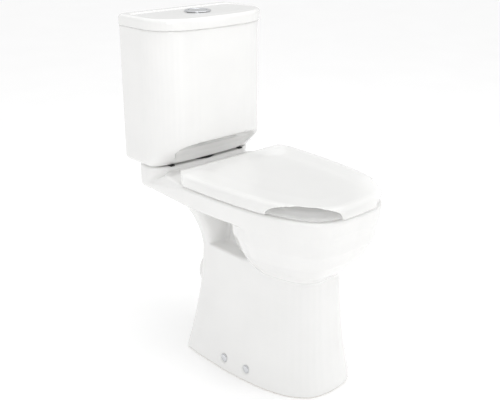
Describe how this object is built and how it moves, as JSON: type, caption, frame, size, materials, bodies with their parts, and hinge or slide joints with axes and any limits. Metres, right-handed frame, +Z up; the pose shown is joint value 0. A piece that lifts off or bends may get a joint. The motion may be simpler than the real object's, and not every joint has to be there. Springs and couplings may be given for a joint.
{
  "type": "close coupled toilet",
  "caption": "Close coupled toilet: floor standing ceramic pan with a cistern on its shelf, a push button lid, an open front seat ring and a wrap-over cover.",
  "frame": {"origin": "centre of the bounding box on the floor", "axes": "+Z up, -Y towards the front of the seat, +Y towards the wall behind the cistern, +X to the left of a user who sits on it"},
  "size_m": [0.37, 0.672, 0.882],
  "materials": {
    "ceramic": "gloss white glaze",
    "seat_cover_plastic": "gloss white",
    "seat_ring_plastic": "gloss white",
    "chrome": "polished",
    "steel": "satin",
    "brass": "plain",
    "rubber": "matt black",
    "buffer_rubber": "matt pale grey",
    "fitting_white": "moulded",
    "fitting_grey": "moulded",
    "fitting_blue": "moulded"
  },
  "bodies": {
    "toilet": {"pan": "ceramic", "pan_skirt": "ceramic", "pan_pedestal": "ceramic", "pan_waist": "ceramic", "pan_shelf": "ceramic", "trapway": "ceramic", "cistern_tank": "ceramic", "coupling_gasket": "rubber", "flush_valve_body": "fitting_white", "flush_valve_nut": "fitting_white", "fill_valve_shank": "fitting_white", "fill_valve_nut": "fitting_white", "flush_valve_tower": "fitting_grey", "fill_valve_head": "fitting_grey", "coupling_bolt_left": "brass", "coupling_washer_left": "rubber", "cistern_pad_left": "rubber", "hinge_bush_left": "rubber", "coupling_wing_nut_left": "fitting_white", "hinge_post_left": "steel", "hinge_pin_left": "steel", "hinge_bolt_left": "steel", "floor_bracket_left": "fitting_grey", "side_screw_rear_left": "steel", "side_cap_rear_left": "chrome", "side_screw_front_left": "steel", "side_cap_front_left": "chrome", "coupling_bolt_right": "brass", "coupling_washer_right": "rubber", "cistern_pad_right": "rubber", "hinge_bush_right": "rubber", "coupling_wing_nut_right": "fitting_white", "hinge_post_right": "steel", "hinge_pin_right": "steel", "hinge_bolt_right": "steel", "floor_bracket_right": "fitting_grey", "side_screw_rear_right": "steel", "side_cap_rear_right": "chrome", "side_screw_front_right": "steel", "side_cap_front_right": "chrome"},
    "seat_ring": {"seat_ring": "seat_ring_plastic", "ring_buffer_rear_left": "buffer_rubber", "ring_buffer_rear_right": "buffer_rubber", "ring_buffer_front_left": "buffer_rubber", "ring_buffer_front_right": "buffer_rubber"},
    "seat_cover": {"seat_cover": "seat_cover_plastic", "cover_buffer_left": "buffer_rubber", "cover_buffer_right": "buffer_rubber"},
    "cistern_lid": {"cistern_lid": "ceramic", "button_bezel": "chrome", "button_bezel_nut": "fitting_grey"},
    "full_flush_button": {"full_flush_button": "chrome", "full_flush_rod": "fitting_white"},
    "half_flush_button": {"half_flush_button": "chrome", "half_flush_rod": "fitting_white"},
    "flush_plunger": {"flush_plunger": "fitting_blue", "flush_seal": "rubber"},
    "float_cup": {"float_cup": "fitting_blue"}
  },
  "joints": [
    {"name": "seat_cover_hinge", "type": "hinge", "parent": "toilet", "child": "seat_cover", "pos_m": [0, 0.096, 0.503], "axis": [-1, 0, 0], "range_deg": [0, 91]},
    {"name": "seat_ring_hinge", "type": "hinge", "parent": "toilet", "child": "seat_ring", "pos_m": [0, 0.096, 0.503], "axis": [-1, 0, 0], "range_deg": [0, 89]},
    {"name": "cistern_lid_lift", "type": "slide", "parent": "toilet", "child": "cistern_lid", "axis": [0, 0, 1], "range_m": [0, 0.12]},
    {"name": "full_flush_press", "type": "slide", "parent": "cistern_lid", "child": "full_flush_button", "axis": [0, 0, -1], "range_m": [0, 0.006], "stiffness_N_per_m": 1500, "springref_m": -0.003},
    {"name": "half_flush_press", "type": "slide", "parent": "cistern_lid", "child": "half_flush_button", "axis": [0, 0, -1], "range_m": [0, 0.006], "stiffness_N_per_m": 1500, "springref_m": -0.003},
    {"name": "flush_plunger_lift", "type": "slide", "parent": "toilet", "child": "flush_plunger", "axis": [0, 0, 1], "range_m": [0, 0.02]},
    {"name": "float_rise", "type": "slide", "parent": "toilet", "child": "float_cup", "axis": [0, 0, 1], "range_m": [0, 0.09]}
  ],
  "couplings": [
    {"joint": "seat_ring_hinge", "follows": "seat_cover_hinge", "ratio": 0.97},
    {"joint": "flush_plunger_lift", "follows": "full_flush_press", "ratio": 3.3}
  ]
}
